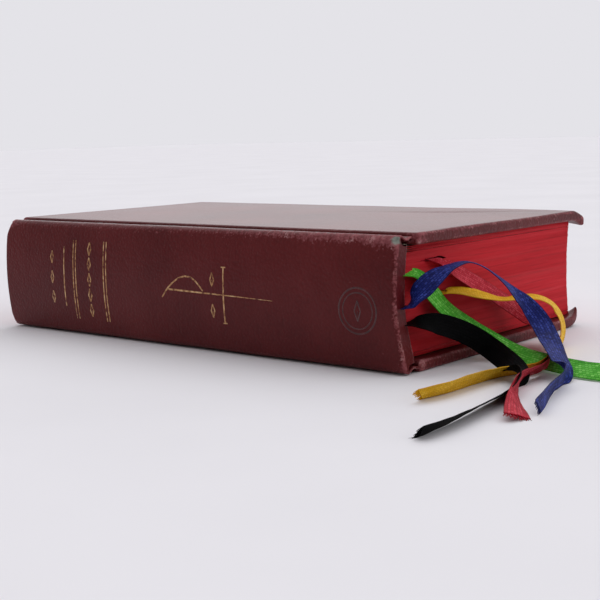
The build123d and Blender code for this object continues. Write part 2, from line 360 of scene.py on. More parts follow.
def rayon_ribbon(name, dark, middle, pale, gloss):
    """Rayon ribbon, woven narrow on a ribbon loom: rows of short floats that glint, soft
    streaks along it, and a firmer, darker selvedge down each side."""
    material, add = new_material("woven_rayon_ribbon_" + name, 0.55, Specular_IOR_Level=gloss)
    lay = add("UVMap", uv_map="lay")
    along = add("Mapping", {"Vector": lay, "Scale": (1000.0, 1000.0, 1.0)})
    # threads are 0.15 mm apart, too fine to show: the floats are drawn 1.1 mm by 0.75 mm
    # painted highlight and shade: the pale floats stand for their glints, and the dark mortar
    # between them for the shade there
    floats = add("TexBrick", {"Vector": along, "Color1": "#FFFFFF", "Color2": "#B0B0B0",
                              "Mortar": "#202020", "Scale": 1.0, "Mortar Size": 0.13,
                              "Mortar Smooth": 0.8, "Brick Width": 1.1, "Row Height": 0.75},
                 "Color")
    long_grain = add("Mapping", {"Vector": lay, "Scale": (0.06, 1.0, 1.0)})
    streak = add("TexNoise", {"Vector": long_grain, "Scale": per(0.8), "Detail": 4.0})
    crease = add("TexNoise", {"Vector": lay, "Scale": per(5.0), "Detail": 3.0})
    tone = add("Math", {0: floats, 1: 0.36}, operation="MULTIPLY")
    tone = add("Math", {0: streak, 1: 0.5, 2: tone}, operation="MULTIPLY_ADD")
    tone = add("Math", {0: crease, 1: 0.3, 2: tone}, operation="MULTIPLY_ADD")
    colour = add("ValToRGB", {"Fac": tone}, stops=[(0.3, dark), (0.6, middle), (0.9, pale)])
    side = add("SeparateXYZ", {0: lay}, "Y")
    side = add("Math", {0: side}, operation="ABSOLUTE")
    side = add("Math", {0: side, 1: (RIBBON_WIDTH / 2 - 0.35) * MM}, operation="GREATER_THAN")
    side = add("Math", {0: side, 1: 0.4}, operation="MULTIPLY")
    colour = add("Mix", {0: side, 6: colour, 7: dark}, 2, data_type="RGBA")
    bump = add("Bump", {"Strength": 0.6, "Distance": 0.12 * MM, "Height": floats})
    return driven(material, Base_Color=colour, Normal=bump)


def blocked_gold():
    """Gold foil, blocked hot into the leather: thin, bright where whole, rubbed to brown."""
    material, add = new_material("hot_blocked_gold_foil", 0.42, Metallic=0.6)
    place = add("TexCoord", out="Object")
    rub = add("TexNoise", {"Vector": place, "Scale": per(1.3), "Detail": 5.0})
    colour = add("ValToRGB", {"Fac": rub},
                 stops=[(0.36, "#6A3D2E"), (0.48, "#B48458"), (0.7, "#DDB888")])
    bump = add("Bump", {"Strength": 0.3, "Distance": 0.05 * MM, "Height": rub})
    return driven(material, Base_Color=colour, Normal=bump)


def blind_tooling():
    """Blind tooling, leather pressed with a hot brass tool and no foil: smoother and darker."""
    material, add = new_material("blind_tooled_goatskin", 0.34, IOR=1.5)
    place = add("TexCoord", out="Object")
    crease = add("TexNoise", {"Vector": place, "Scale": per(1.2), "Detail": 4.0})
    colour = add("ValToRGB", {"Fac": crease}, stops=[(0.3, "#30090B"), (0.7, "#5A2225")])
    bump = add("Bump", {"Strength": 0.3, "Distance": 0.08 * MM, "Height": crease})
    return driven(material, Base_Color=colour, Normal=bump)


def backdrop_paper():
    """Seamless backdrop paper: matt and off-white, with a trace of mottling."""
    material, add = new_material("seamless_backdrop_paper", 0.9, Specular_IOR_Level=0.0)
    place = add("TexCoord", out="Object")
    mottle = add("TexNoise", {"Vector": place, "Scale": per(90.0), "Detail": 3.0})
    colour = add("ValToRGB", {"Fac": mottle}, stops=[(0.3, "#E6E5E8"), (0.7, "#EAE9EC")])
    return driven(material, Base_Color=colour)


GOATSKIN = maroon_goatskin()
LEAVES = red_edged_paper()
ENDPAPER = cream_endpaper()
MILLBOARD = grey_millboard()
MULL = woven_cotton("open_woven_mull", 1.0, "#D8CFB8", "#8E836A")
TAPE = woven_cotton("close_woven_sewing_tape", 0.8, "#E2DAC6", "#A2977C")
GOLD = blocked_gold()
BLIND = blind_tooling()

# ---------------- camera


def place_camera():
    """Low and to the spine's side of the tail, a little rolled."""
    azimuth, elevation, roll = (math.radians(angle) for angle in (-140.098, 7.900, -1.485))
    place = Vector((-302.23, -259.09, 63.56)) * MM
    back = Vector((math.cos(elevation) * math.cos(azimuth), math.cos(elevation) * math.sin(azimuth),
                   math.sin(elevation)))
    data = bpy.data.cameras.new("camera")
    data.lens = 72.35
    data.sensor_width = 36.0
    data.clip_start = 0.01
    camera = bpy.data.objects.new("camera", data)
    bpy.context.scene.collection.objects.link(camera)
    turn = (-back).to_track_quat("-Z", "Y").to_matrix() @ Matrix.Rotation(roll, 3, "Z")
    camera.matrix_world = Matrix.Translation(place) @ turn.to_4x4()
    bpy.context.scene.camera = camera


place_camera()

# ---------------- ribbons

# the way that the camera looks
SIGHT = Vector((0.834, 0.534, -0.136))
# how far the cut of each ribbon's end runs out, from its middle to its side, in millimetres
SLANT = {"black": 1.0, "blue": 3.0, "yellow": 2.6, "green": 0.0, "red": 1.4}
# the share of its width that a ribbon loses, and between which shares of its length
PINCHES = {"red": ((0.25, 0.55, 0.65), (-0.3, 0.86, 1.0)), "black": ((0.15, 0.58, 0.66),),
           "blue": ((0.3, 0.72, 0.82), (-0.3, 0.9, 1.0))}
# Each ribbon's length and its route: (from the spine face, out from the leaf ends, above the
# table, turn), in millimetres. The turn is the ribbon's own twist in degrees: at 0 it is spread
# flat towards SIGHT, and at 90 it stands edge-on to it.
ROUTES = {
    "black": (112.0, [
        (5.0, 0.0, 13.1, 84), (4.7, 1.4, 13.2, 80), (6.6, 2.8, 13.2, 72), (8.4, 4.4, 13.4, 52),
        (12.6, 6.0, 12.9, 24), (18.7, 8.0, 10.8, 12), (23.5, 10.6, 8.2, 8), (24.9, 15.0, 5.3, 6),
        (16.3, 24.9, 4.3, 14), (12.0, 31.4, 2.8, 40), (3.8, 35.6, 2.3, 62), (-5.0, 37.9, 1.9, 74),
        (-12.8, 39.1, 1.7, 78), (-22.9, 40.8, 1.7, 76), (-33.4, 42.2, 1.7, 72),
        (-41.5, 42.8, 1.6, 66), (-46.3, 42.6, 1.5, 62), (-48.9, 42.3, 1.4, 60)]),
    "blue": (116.0, [
        (4.5, 0.0, 17.6, 80), (4.0, 2.0, 17.7, 80), (4.8, 3.6, 18.6, 74), (4.7, 4.8, 20.6, 52),
        (6.4, 6.2, 22.9, 20), (10.7, 7.4, 26.0, 40), (16.2, 8.8, 28.2, 76), (23.4, 9.9, 28.4, 86),
        (28.3, 12.8, 25.8, 87), (32.2, 15.4, 21.9, 82), (35.3, 17.6, 18.1, 60),
        (38.3, 19.6, 14.9, 38), (38.6, 22.8, 11.0, 20), (33.0, 28.5, 7.4, 20),
        (23.2, 36.0, 5.1, 42), (17.9, 41.1, 2.9, 52), (11.4, 43.5, 2.4, 50), (2.7, 45.5, 2.2, 44),
        (-7.1, 48.9, 1.9, 40), (-15.9, 51.9, 1.2, 38)]),
    "yellow": (134.0, [
        (23.3, 0.0, 19.5, 82), (23.2, 1.8, 19.5, 80), (22.9, 3.2, 19.9, 72),
        (27.3, 4.2, 19.6, 68), (32.9, 5.2, 18.5, 66), (39.4, 6.4, 16.9, 72),
        (46.4, 7.8, 15.3, 84), (53.2, 9.4, 15.3, 78), (60.3, 11.0, 14.2, 76),
        (64.8, 12.8, 11.6, 74), (64.9, 15.4, 7.6, 70), (60.2, 18.0, 3.8, 66),
        (47.2, 22.8, 1.9, 62), (24.4, 29.4, 1.6, 66), (18.6, 27.7, 1.6, 64),
        (11.5, 25.0, 1.6, 58), (-0.8, 24.7, 1.8, 52), (-12.1, 24.7, 1.7, 56),
        (-19.5, 22.7, 1.5, 56)]),
    "green": (82.0, [
        (4.5, 0.0, 26.0, 84), (5.0, 0.9, 26.1, 80), (8.9, 1.4, 25.9, 66), (11.6, 1.8, 24.7, 52),
        (14.7, 2.2, 22.0, 48), (17.9, 2.6, 18.9, 50), (20.9, 3.2, 15.9, 50),
        (25.9, 4.4, 12.3, 50), (33.2, 6.9, 7.6, 48), (36.0, 12.5, 3.9, 48), (32.9, 20.5, 2.5, 48),
        (29.4, 29.0, 2.2, 48), (26.1, 38.2, 2.1, 48), (24.8, 44.6, 2.1, 47),
        (24.9, 49.5, 2.1, 46)]),
    "red": (146.0, [
        (18.0, 0.0, 29.0, 84), (17.9, 0.6, 28.9, 76), (23.1, 1.2, 27.8, 60),
        (34.1, 1.6, 22.8, 48), (49.9, 2.5, 15.4, 46), (60.0, 4.6, 9.2, 50), (58.5, 12.0, 5.3, 56),
        (39.0, 24.1, 4.4, 66), (27.6, 31.4, 3.4, 66), (19.8, 33.6, 2.8, 64),
        (15.0, 33.1, 2.4, 62), (7.1, 34.4, 2.5, 56), (-2.7, 38.6, 2.0, 46),
        (-13.4, 44.4, 1.6, 34), (-23.7, 50.8, 1.0, 16)]),
}


def read_line(name, points):
    """The points of a smooth NURBS line along a route, of order 3 and held at its ends."""
    data = bpy.data.curves.new(name, "CURVE")
    data.dimensions = "3D"
    data.resolution_u = 14
    spline = data.splines.new("NURBS")
    spline.points.add(len(points) - 1)
    for target, point in zip(spline.points, points):
        target.co = (*(c * MM for c in point), 1.0)
    spline.order_u = 3
    spline.use_endpoint_u = True
    holder = bpy.data.objects.new(name, data)
    bpy.context.scene.collection.objects.link(holder)
    bpy.context.view_layer.update()
    mesh = bpy.data.meshes.new_from_object(holder)
    line = [Vector(v.co) / MM for v in mesh.vertices]
    bpy.data.objects.remove(holder)
    bpy.data.meshes.remove(mesh)
    bpy.data.curves.remove(data)
    return line


def ribbon_frames(name, route):
    """Along a ribbon: its middle, the way of its width, the way of its face, the length so far."""
    middle = read_line(name + "_line", [(SPINE_FACE + in_from, -LEAF_HALF - out, up)
                                        for in_from, out, up, _ in route])
    turns = read_line(name + "_turn", [(turn, 0.0, 0.0) for _, _, _, turn in route])
    frames = []
    length = 0.0
    for i, point in enumerate(middle):
        ahead = heading(middle, i)
        spread = ahead.cross(SIGHT).normalized()
        turn = math.radians(turns[i].x)
        way = spread * math.cos(turn) + spread.cross(ahead) * math.sin(turn)
        if i:
            length += (point - middle[i - 1]).length
        frames.append((point, way, way.cross(ahead).normalized(), length, ahead))
    return frames


def ribbon_share(name, share):
    """How wide a ribbon lies along its length, as a share of its full width."""
    at_exit, exit_run = 0.4, 0.05
    width = at_exit + (1 - at_exit) * ease(0.0, exit_run, share)
    lost = sum(loss * ease(start, end, share) for loss, start, end in PINCHES.get(name, ()))
    return width * (1.0 - lost)


def lay_out(piece, places):
    """Each point's place along and across its ribbon, for the weave to read."""
    layer = piece.data.uv_layers.new(name="lay")
    for loop in piece.data.loops:
        layer.data[loop.index].uv = places[loop.vertex_index]


def ribbon_band(name, length, route, material):
    """One free ribbon: a thin band with two faces and closed selvedges, and its frayed end."""
    frames = ribbon_frames(name, route)
    total = frames[-1][3]
    columns = 9
    cupped, rippled, cut_run, tucked_in = 0.18, 0.12, 12.0, 0.1
    verts, lay = [], []
    for side in (1, -1):
        for point, way, face, along, ahead in frames:
            share = along / total
            for j in range(columns):
                across = (j / (columns - 1) - 0.5) * 2
                half = RIBBON_WIDTH / 2 * ribbon_share(name, share)
                cup = cupped * (1 - across * across) * math.sin(share * 17.0)
                ripple = rippled * wander(along, across * 3.0, 1.0, 4.0)
                v = point + way * across * half + face * (cup + ripple + side * RIBBON_THICK / 2)
                v -= ahead * across * SLANT[name] * ease(total - cut_run, total, along)
                v.z = max(v.z, RIBBON_REST + RIBBON_THICK * (side > 0))
                v.y = min(v.y, -LEAF_HALF + tucked_in)
                verts.append(v)
                lay.append((along * MM, across * RIBBON_WIDTH / 2 * MM))
    rows = len(frames)
    under = rows * columns
    faces = grid_faces(rows, columns) + grid_faces(rows, columns, under, flip=True)
    faces += rim_faces(rows, columns, under)
    piece = mesh_piece("ribbon_" + name + "_band", verts, faces, material, "text_block")
    lay_out(piece, lay)
    fray = frayed_end(name, frames, material)
    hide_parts("ribbon_" + name)


def thread(points, radius, shape):
    """Add one fine thread, three-sided and closed, to a shape: its points and its faces."""
    verts, faces = shape
    first = len(verts)
    aside = Vector((0.3, 0.2, 0.93))
    for i, point in enumerate(points):
        ahead = heading(points, i)
        one = ahead.cross(aside).normalized()
        two = ahead.cross(one)
        thin = radius * (1 - 0.5 * i / (len(points) - 1))
        for k in range(3):
            turn = 2 * math.pi * k / 3
            v = point + one * thin * math.cos(turn) + two * thin * math.sin(turn)
            v.z = max(v.z, RIBBON_REST)
            verts.append(v)
    for i in range(len(points) - 1):
        for k in range(3):
            a, b = first + i * 3 + k, first + i * 3 + (k + 1) % 3
            faces.append((a, b, b + 3, a + 3))
    faces.append((first, first + 2, first + 1))
    top = first + (len(points) - 1) * 3
    faces.append((top, top + 1, top + 2))


def frayed_end(name, frames, material):
    """The loose threads past the cut end of a ribbon."""
    end, way, _, _, ahead = frames[-1]
    shape = [], []
    count = 40
    for k in range(count):
        across = (k / (count - 1) - 0.5) * 2
        root = end + way * across * RIBBON_WIDTH / 2 * ribbon_share(name, 1.0) * 0.97
        root -= ahead * (0.4 + across * SLANT[name])
        reach = random.uniform(0.9, 2.5)
        lean = way * (across * 0.2 + random.uniform(-0.25, 0.25)) + ahead
        points = []
        for step in range(5):
            t = step / 4
            points.append(root + lean * reach * t + Vector((0, 0, -0.3 * t * t))
                          + way * 0.15 * math.sin(t * 3 + k))
        thread(points, THREAD_RADIUS, shape)
    piece = mesh_piece("ribbon_" + name + "_fray", *shape, material, "text_block")
    lay_out(piece, [(i * 0.01 * MM, 0.0) for i in range(len(shape[0]))])
    return piece


RIBBON_CLOTH = {
    "black": rayon_ribbon("black", "#020203", "#060607", "#0E0E10", 0.03),
    "blue": rayon_ribbon("blue", "#080C3A", "#141F62", "#4252B0", 0.08),
    "yellow": rayon_ribbon("yellow", "#C08A06", "#E6B412", "#FFDA50", 0.15),
    "green": rayon_ribbon("green", "#22800F", "#4CB82A", "#98EA70", 0.15),
    "red": rayon_ribbon("red", "#80081A", "#BA182E", "#E05866", 0.10),
}
for ribbon, length_and_route in ROUTES.items():
    ribbon_band(ribbon, *length_and_route, RIBBON_CLOTH[ribbon])

# ---------------- leaves


def fore_edge_at(z):
    """The hollow fore-edge of the leaves."""
    share = (z - BLOCK_MIDDLE) / ((BLOCK_HIGH - BLOCK_LOW) / 2)
    return LEAF_FORE_EDGE - FORE_EDGE_HOLLOW * (1 - share * share)


def back_at(z):
    """The rounded back of the leaves."""
    share = (z - BLOCK_MIDDLE) / ((BLOCK_HIGH - BLOCK_LOW) / 2)
    return LEAF_BACK + BACK_BOW * share * share


def pile_outline(x0, x1):
    """Leaves seen from above: (x, y, way out x, way out y)."""
    corners = [(x0, -LEAF_HALF), (x1, -LEAF_HALF), (x1, LEAF_HALF), (x0, LEAF_HALF)]
    ways_out = [(0.0, -1.0), (1.0, 0.0), (0.0, 1.0), (-1.0, 0.0)]
    points = []
    for side, steps in enumerate((70, 70, 50, 40)):
        for step in range(steps):
            place = between(corners[side], corners[(side + 1) % 4], step / steps)
            points.append(place + ways_out[side])
    return points


def parted(level, x, y):
    """The height between two piles: they meet in a wavy line, and part where a ribbon leaves."""
    wave, half_open, reach_x, reach_y = 0.22, 0.4, 3.6, 4.0
    bottom, top = PILES[level - 1][1][2], PILES[level][0][2]
    middle = (bottom + top) / 2 + wave * wander(x, y, level * 7.0, 26.0)
    _, route = list(ROUTES.values())[level - 1]
    exit_x = SPINE_FACE + route[0][0] + 1.5
    near_x = math.exp(-((x - exit_x) / reach_x) ** 2)
    spread = half_open * near_x * math.exp(-((y + LEAF_HALF) / reach_y) ** 2)
    return middle - spread, middle + spread


def leaf_ripple(x, y, z):
    """Leaves stand a little proud or shy of each other, in long level ripples."""
    ripples = ((0.17, 26.0, 0.0, 24.0), (0.10, 34.0, 5.0, 12.0), (0.14, 12.0, 9.0, 34.0))
    return sum(high * wander(x + y, z * rate, seed, size) for high, rate, seed, size in ripples)


def sewn_pile(k):
    """One pile of sewn leaves: its points row by row from the bottom."""
    low, high = PILES[k][0][2], PILES[k][1][2]
    row_height = 0.36
    rows = int((high - low) / row_height)
    points = []
    for i in range(rows + 1):
        share = i / rows
        level = low + (high - low) * share
        for x, y, out_x, out_y in pile_outline(back_at(level), fore_edge_at(level)):
            bottom = parted(k, x, y)[1] if k else low
            top = parted(k + 1, x, y)[0] if k < len(PILES) - 1 else high
            z = bottom + (top - bottom) * share
            rise = leaf_ripple(x, y, z) if out_x >= 0 else 0.0
            points.append((x + out_x * rise, y + out_y * rise, z))
    leaves("leaf_pile_" + str(k + 1), points, rows, low, high, "leaf_group_" + str(k + 1),
           "text_block")


def loose_leaf(node):
    """One loose leaf: thin where it is hinged, cockled at its edges so that it touches the next,
    and cut back at its corners from the leather turned in at the ends of the spine."""
    corner_low, corner_high = node_box(node)
    middle = (corner_low[2] + corner_high[2]) / 2
    swell, thin, cut_back = 0.09, 0.05, 0.025
    half = (corner_high[2] - corner_low[2]) / 2 + swell
    hinged = corner_low[0] + 0.2
    points = []
    for i in range(3):
        for x, y, out_x, out_y in pile_outline(hinged, corner_high[0]):
            free = ease(hinged, hinged + 8.0, x)
            z = middle + (i - 1) * (thin + (half - thin) * free)
            rise = leaf_ripple(x, y, z) if out_x >= 0 else 0.0
            cockle = 0.06 * wander(x, y, z, 9.0) * free
            short = 1 - cut_back * (1 - ease(hinged, hinged + 2.5, x))
            points.append((x + out_x * rise, (y + out_y * rise) * short, z + cockle))
    leaves(node + "_sheet", points, 2, middle - half, middle + half, node, node)


def leaves(name, verts, rows, low, high, node, body):
    """Close rows of points with flat faces below and above, and put the piece in a node's place."""
    columns = len(verts) // (rows + 1)
    faces = grid_faces(rows + 1, columns, closed=True)
    for row, level, flip in ((0, low, True), (rows, high, False)):
        rim = verts[row * columns:(row + 1) * columns]
        centre = np.mean(np.array(rim), axis=0)
        before = row * columns
        for step in range(1, 7):
            share = (1 - step / 6.5) ** 1.5
            for x, y, z in rim:
                verts.append((*between(centre, (x, y), share), level + (z - level) * share ** 6))
            after = len(verts) - columns
            for j in range(columns):
                beside = (j + 1) % columns
                quad = (before + j, before + beside, after + beside, after + j)
                faces.append(quad[::-1] if flip else quad)
            before = after
        hole = tuple(range(before, before + columns))
        faces.append(hole[::-1] if flip else hole)
    piece = mesh_piece(name, verts, faces, LEAVES, body)
    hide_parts(node)


for number in range(len(PILES)):
    sewn_pile(number)
for node_name in ("front_leaf_1", "front_leaf_2", "front_leaf_3", "back_leaf_1", "back_leaf_2"):
    loose_leaf(node_name)

# ---------------- covers


def cover_plan(inset):
    """The outline of a cover seen from above, rounded most at its fore-edge corners."""
    x0, x1 = BOARD_EDGE + inset, FORE_EDGE - inset
    y0, y1 = -HALF_HEIGHT + inset, HALF_HEIGHT - inset
    near, far = JOINT_CORNER, COVER_CORNER - inset * 0.6
    corners = [((x0 + near, y0 + near), near, 180), ((x1 - far, y0 + far), far, 270),
               ((x1 - far, y1 - far), far, 0), ((x0 + near, y1 - near), near, 90)]
    outline = []
    for k, (centre, radius, start) in enumerate(corners):
        for step in range(11):
            outline.append(on_circle(centre, radius, math.radians(start + 9 * step)))
        centre, radius, start = corners[(k + 1) % 4]
        here, target = outline[-1], on_circle(centre, radius, math.radians(start))
        steps = 58 if k % 2 == 0 else 100
        outline += [between(here, target, step / steps) for step in range(1, steps)]
    return outline


def corner_share(x, y, reach, power):
    """How near a place is to the fore-edge corner at the tail, or a little less so at the head."""
    gap = math.hypot(FORE_EDGE - x, HALF_HEIGHT - abs(y))
    return max(0.0, 1 - gap / reach) ** power * (1.0 if y < 0 else 0.6)


def front_warp(x, y, outer):
    """The front cover's worn shape: its fore-edge droops, its corners more so and they stand
    out a little, and its outside has a shallow dent."""
    corner = corner_share(x, y, 7.0, 2)
    sag = ease(45.0, FORE_EDGE, x) * (0.35 + 0.75 * ease(10.0, -HALF_HEIGHT, y)) + 1.4 * corner
    dent = math.hypot((x - 28.0 + 0.35 * (y + 48.0)) / 3.2, (y + 48.0) / 20.0)
    hollow = outer * 0.42 * math.exp(-dent * dent)
    swell = outer * 0.16 * wander(x, y, 3.0, 40.0) * ease(BOARD_EDGE, BOARD_EDGE + 14, x)
    return 1.5 * corner, math.copysign(0.2, y) * corner, swell - hollow - sag


def back_warp(x, y, _):
    """The back cover's fore-edge corners have curled up and in against the leaves."""
    corner = corner_share(x, y, 11.0, 3)
    return -2.4 * corner, math.copysign(0.9, -y) * corner, 4.0 * corner


def slab(name, inset, low, high, edge, warp, outside, material, body):
    """A flat closed form with rounded edges, warped as the cover that it belongs to. Its rings
    run out from the middle of the top, over the edge and back to the middle of the bottom."""
    outline = cover_plan(inset)
    inner = cover_plan(inset + edge)
    centre = ((BOARD_EDGE + FORE_EDGE) / 2, 0.0)
    flat_rings, smallest = 40, 0.004
    quarter = [math.radians(15 * step) for step in range(7)]
    rings = [(None, step / flat_rings, high) for step in range(flat_rings)]
    rings += [(1 - math.sin(turn), None, high - edge * (1 - math.cos(turn))) for turn in quarter]
    rings += [(1 - math.cos(turn), None, low + edge * (1 - math.sin(turn))) for turn in quarter]
    rings += [(None, step / flat_rings, low) for step in range(flat_rings - 1, -1, -1)]
    verts = []
    for pull, share, z in rings:
        outer = (z - low) / (high - low) if outside > 0 else (high - z) / (high - low)
        for rim, inside in zip(outline, inner):
            if pull is None:
                x, y = between(centre, inside, max(share, smallest))
            else:
                x, y = between(rim, inside, pull)
            move = warp(x, y, outer)
            verts.append((x + move[0], y + move[1], z + move[2]))
    count = len(outline)
    faces = grid_faces(len(rings), count, 0, closed=True, flip=True)
    faces.append(tuple(range(count)))
    faces.append(tuple(range((len(rings) - 1) * count, len(rings) * count))[::-1])
    return mesh_piece(name, verts, faces, material, body)


def cover_wear(piece, low, high):
    """Rub the dye off the arrises of a cover between these heights, and most off its corners."""
    wear = []
    for vertex in piece.data.vertices:
        x, y, z = (c / MM for c in vertex.co)
        side = min(FORE_EDGE - x, HALF_HEIGHT - abs(y))
        arris = side + min(max(high - z, 0.0), max(z - low, 0.0))
        w = 0.34 * (1 - ease(0.5, 1.0, arris)) + 0.04 * (1 - ease(0.0, 1.6, side))
        corner = math.hypot(max(0.0, x - FORE_EDGE + 5.0), max(0.0, abs(y) - HALF_HEIGHT + 5.0))
        w += 0.24 * ease(3.6, 6.0, corner)
        joint_corner = math.hypot(x - BOARD_EDGE, abs(y) - HALF_HEIGHT)
        w += 0.42 * (1 - ease(1.0, 6.0, joint_corner))
        w += 0.12 * (1 - ease(0.0, 1.6, x - BOARD_EDGE)) * (1 if z > MIDDLE else 0)
        w += 0.10 * wander(x, y, z, 6.0)
        wear.append(w)
    paint(piece, "wear", wear)
    paint(piece, "torn", [0.0] * len(wear))


def covers():
    """Each cover's leather, and inside it a board that stays clear of the leather's rounds."""
    for name, warp, outside in (("front", front_warp, 1), ("back", back_warp, -1)):
        body = name + "_cover"
        low, high = (corner[2] for corner in node_box(body + "_leather"))
        board_low, board_high = (corner[2] for corner in node_box(body + "_board"))
        skin = slab(body + "_skin", 0.0, low, high, COVER_ROUND, warp, outside, GOATSKIN, body)
        cover_wear(skin, low, high)
        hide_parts(body + "_leather")
        board = slab(name + "_board", LEATHER + 0.3, board_low + 0.1, board_high - 0.2, 0.4, warp,
                     outside, MILLBOARD, body)
        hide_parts(body + "_board")


covers()

# ---------------- spine and joints


def spine_profile():
    """The outer line of the leather from the front joint round the spine to the back joint, with
    the middle and the radius of the spine's own arc."""
    chord = THICKNESS - 2 * SHOULDER
    radius = (chord * chord / 4 + SPINE_BOW ** 2) / (2 * SPINE_BOW)
    centre_x = SPINE_FACE + radius
    crest = (SPINE_FACE + SPINE_BOW + SHOULDER_ROUND, THICKNESS - SHOULDER_DROP - SHOULDER_ROUND)
    half = []
    start = GROOVE + 3.6
    for step in range(16):
        x = start + (crest[0] - start) * step / 16
        dip = 1.1 * math.exp(-((x - GROOVE - 0.6) / 1.5) ** 2)
        tuck = 0.6 * ease(GROOVE + 0.4, start, x)
        half.append((x, THICKNESS - SHOULDER_DROP - dip - tuck))
    for step in range(12):
        half.append(on_circle(crest, SHOULDER_ROUND, math.radians(90 + 90 * step / 12)))
    arc = math.asin(chord / 2 / radius)
    for step in range(25):
        half.append(on_circle((centre_x, MIDDLE), radius, math.pi - arc + arc * step / 24))
    return half + [(x, THICKNESS - z) for x, z in half[:-1]][::-1], centre_x, radius


PROFILE, SPINE_CENTRE, SPINE_RADIUS = spine_profile()
JOINT_ROWS = 14     # steps of the profile that belong to each joint's leather


def outward(i):
    """The way out of the profile at one of its points."""
    a = PROFILE[max(i - 1, 0)]
    b = PROFILE[min(i + 1, len(PROFILE) - 1)]
    length = math.dist(a, b)
    return (b[1] - a[1]) / length, -(b[0] - a[0]) / length


def stations():
    """Places along the spine: (end, distance from it, how far down its end face)."""
    near = [(0.0, down) for down in (0.88, 0.65, 0.35, 0.12)]
    near += [(distance, 0.0) for distance in (0.0, 0.06, 0.16, 0.3, 0.5, 0.75, 1.05, 1.5, 2.0, 2.7,
                                              3.05, 3.2, 3.8, 4.8, 6.0, 7.4)]
    places = [(-1, distance, down) for distance, down in near]
    half_steps = 54
    for step in range(1, 2 * half_steps):
        y = (HALF_HEIGHT - near[-1][0]) * (step / half_steps - 1)
        places.append((math.copysign(1, y), HALF_HEIGHT - abs(y), 0.0))
    return places + [(1, distance, down) for distance, down in near[::-1]]


def end_slant(side, z):
    """How far the worn leather has drawn back from the end of the covers."""
    if side < 0:
        return 1.9 * ease(0.0, 20.0, z)
    return 0.3 + 2.2 * ease(THICKNESS - 6.0, THICKNESS, z) + 1.3 * ease(5.0, 0.0, z)


def edge_pull(distance, radius):
    """How far a rounded arris lies inside its face."""
    if distance >= radius:
        return 0.0
    return radius - math.sqrt(radius ** 2 - (radius - distance) ** 2)


def spine_lift(y, z):
    """Old leather over card is never quite flat."""
    return 0.09 * wander(y, z, 0.0, 22.0) + 0.03 * wander(y, z, 4.0, 7.0)


def leather_strip(name, first, last, body):
    """A length of the profile as leather with thickness, closed all round."""
    outer, inner, wear, torn = [], [], [], []
    places = stations()
    card_from, card_to = 17, 27
    for i in range(first, last + 1):
        x, z = PROFILE[i]
        out_x, out_z = outward(i)
        card = ease(card_from, card_to, min(i, len(PROFILE) - 1 - i))
        thick = LEATHER + (SPINE_THICK - LEATHER) * card
        arris = SPINE_ARRIS if card > 0.5 else JOINT_ARRIS
        for side, distance, down in places:
            drawn_back = side * end_slant(side, z) * ease(60.0, 0.0, distance)
            y = side * (HALF_HEIGHT - distance) - drawn_back
            lip = HEADCAP_LIP * card * (1 - ease(2.7, 3.05, distance))
            depth = thick + lip - edge_pull(distance, arris * 0.7)
            lift = spine_lift(y, z) - edge_pull(distance, arris)
            lift -= down * (depth + lift)
            outer.append((x + out_x * lift, y, z + out_z * lift))
            inner.append((x - out_x * depth, y, z - out_z * depth))
            wear.append(spine_wear(x, y, z, distance, down))
            torn.append(torn_corner(x, y, z) * (1 - ease(0.0, 0.3, down)))
    rows, columns = last - first + 1, len(places)
    under = rows * columns
    faces = grid_faces(rows, columns) + grid_faces(rows, columns, under, flip=True)
    faces += rim_faces(rows, columns, under)
    piece = mesh_piece(name, outer + inner, faces, GOATSKIN, body)
    rim = [0.36 * (1 - ease(0.1, 0.8, distance)) for side, distance, down in places] * rows
    paint(piece, "wear", wear + rim)
    paint(piece, "torn", torn + [0.0] * under)
    return piece


def spine_wear(x, y, z, distance, down):
    """Rub the shoulders, the arrises at head and tail, and the corners between them. The pale line
    along the upper shoulder, stronger towards the tail, is partly rubbed dye and partly painted
    highlight.
    """
    if down:
        return 0.16 * ease(0.3, 0.0, min(down, 1 - down)) + 0.12 * wander(x, y, z + down * 4, 3.0)
    w = 0.45 * (1 - ease(0.35, 1.25, distance)) + 0.05 * (1 - ease(1.5, 12.0, distance))
    top = THICKNESS - z
    # painted highlight as well as wear: the upper ridge is made paler than the lower one, and paler
    # still towards the tail
    ridge = (1 - ease(0.3, 2.6, abs(top - 1.2))) * ease(GROOVE - 0.6, GROOVE - 1.8, x)
    low_ridge = (1 - ease(0.2, 1.8, abs(z - 1.0))) * ease(GROOVE - 0.6, GROOVE - 1.8, x)
    w += 0.26 * ridge + 0.14 * low_ridge
    near_tail = 1 - ease(0.0, 110.0, y + HALF_HEIGHT)
    w += 0.20 * ridge * near_tail + 0.16 * near_tail ** 2 * (1 - ease(1.0, 8.0, top))
    for corner_z, reach, most in ((THICKNESS - 1.0, 6.5, 0.34), (1.0, 5.0, 0.26)):
        gap = math.dist((x, abs(y), z), (SPINE_FACE + 3.0, HALF_HEIGHT - 0.5, corner_z))
        w += most * (1 - ease(1.5, reach, gap))
    return w + 0.14 * wander(x, y, z, 4.5) + 0.06 * wander(x, y, z, 1.8)


def torn_corner(x, y, z):
    """The top corner at the tail, torn through to the grey card."""
    place = (SPINE_FACE + 2.4, -(HALF_HEIGHT - 2.6), THICKNESS - 1.4)
    reach = (1.7, 1.4, 1.2)
    gap = math.hypot(*((a - b) / r for a, b, r in zip((x, y, z), place, reach)))
    return 1 - ease(0.8, 1.0, gap + 0.35 * wander(x, y, z, 1.3))


def spine_and_joints():
    """The spine's leather, and beside it the two joints between it and the covers."""
    last = len(PROFILE) - 1
    spine = leather_strip("spine_skin", JOINT_ROWS, last - JOINT_ROWS, "text_block")
    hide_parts("spine_leather", "spine_card")
    front = leather_strip("front_joint_skin", 0, JOINT_ROWS, None)
    back = leather_strip("back_joint_skin", last - JOINT_ROWS, last, None)
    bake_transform(front)
    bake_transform(back)


spine_and_joints()

